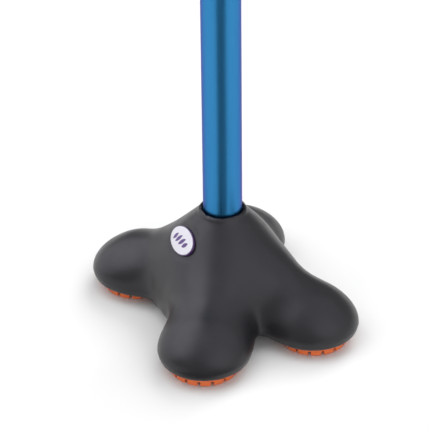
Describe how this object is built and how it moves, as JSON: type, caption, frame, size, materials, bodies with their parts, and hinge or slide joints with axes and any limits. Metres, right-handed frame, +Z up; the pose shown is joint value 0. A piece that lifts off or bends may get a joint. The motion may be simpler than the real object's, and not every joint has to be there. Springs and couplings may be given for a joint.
{
  "type": "quad walking cane",
  "caption": "Height-adjustable walking cane with a four-footed rubber base, telescoping blue tube and offset handle.",
  "frame": {"origin": "on the floor, on the shaft's axis, midway between the four feet", "axes": "+Z up the shaft; +X the way the user walks, along the base's long side and the handle's plane; the badge and the snap button face -Y"},
  "size_m": [0.1647, 0.1024, 0.838],
  "materials": {
    "base_rubber": "satin charcoal",
    "tread_rubber": "matte orange",
    "badge_plate": "gloss dark purple",
    "badge_dome": "clear-domed white",
    "anodised_tube": "satin blue anodised",
    "steel": "plain",
    "nylon": "natural",
    "black_plastic": "fine texture",
    "seal_rubber": "matte black",
    "grip_rubber": "matte moulded"
  },
  "bodies": {
    "base": {"base_body": "base_rubber", "socket_sleeve": "nylon", "socket_washer": "steel", "tread_front_left": "tread_rubber", "tread_front_right": "tread_rubber", "tread_back_left": "tread_rubber", "tread_back_right": "tread_rubber", "badge_plate": "badge_plate", "badge_dome": "badge_dome", "lower_tube": "anodised_tube", "lower_tube_bush": "nylon", "snap_spring": "steel"},
    "snap_button": {"snap_button": "steel"},
    "upper_shaft": {"upper_tube": "anodised_tube", "collar_ferrule": "nylon", "hand_grip": "grip_rubber", "grip_front_ring": "black_plastic", "grip_end_cap": "black_plastic"},
    "lock_nut": {"lock_nut": "black_plastic", "collar_wiper_ring": "seal_rubber"}
  },
  "joints": [
    {"name": "height_adjust", "type": "slide", "parent": "base", "child": "upper_shaft", "axis": [0, 0, 1], "range_m": [-0.1143, 0.1143]},
    {"name": "button_press", "type": "slide", "parent": "base", "child": "snap_button", "axis": [0, 1, 0], "range_m": [0, 0.0042], "stiffness_N_per_m": 1500, "deforming": ["snap_spring"]},
    {"name": "lock_nut_turn", "type": "hinge", "parent": "upper_shaft", "child": "lock_nut", "pos_m": [0, 0, 0.3], "axis": [0, 0, 1], "range_deg": [-360, 0]}
  ]
}
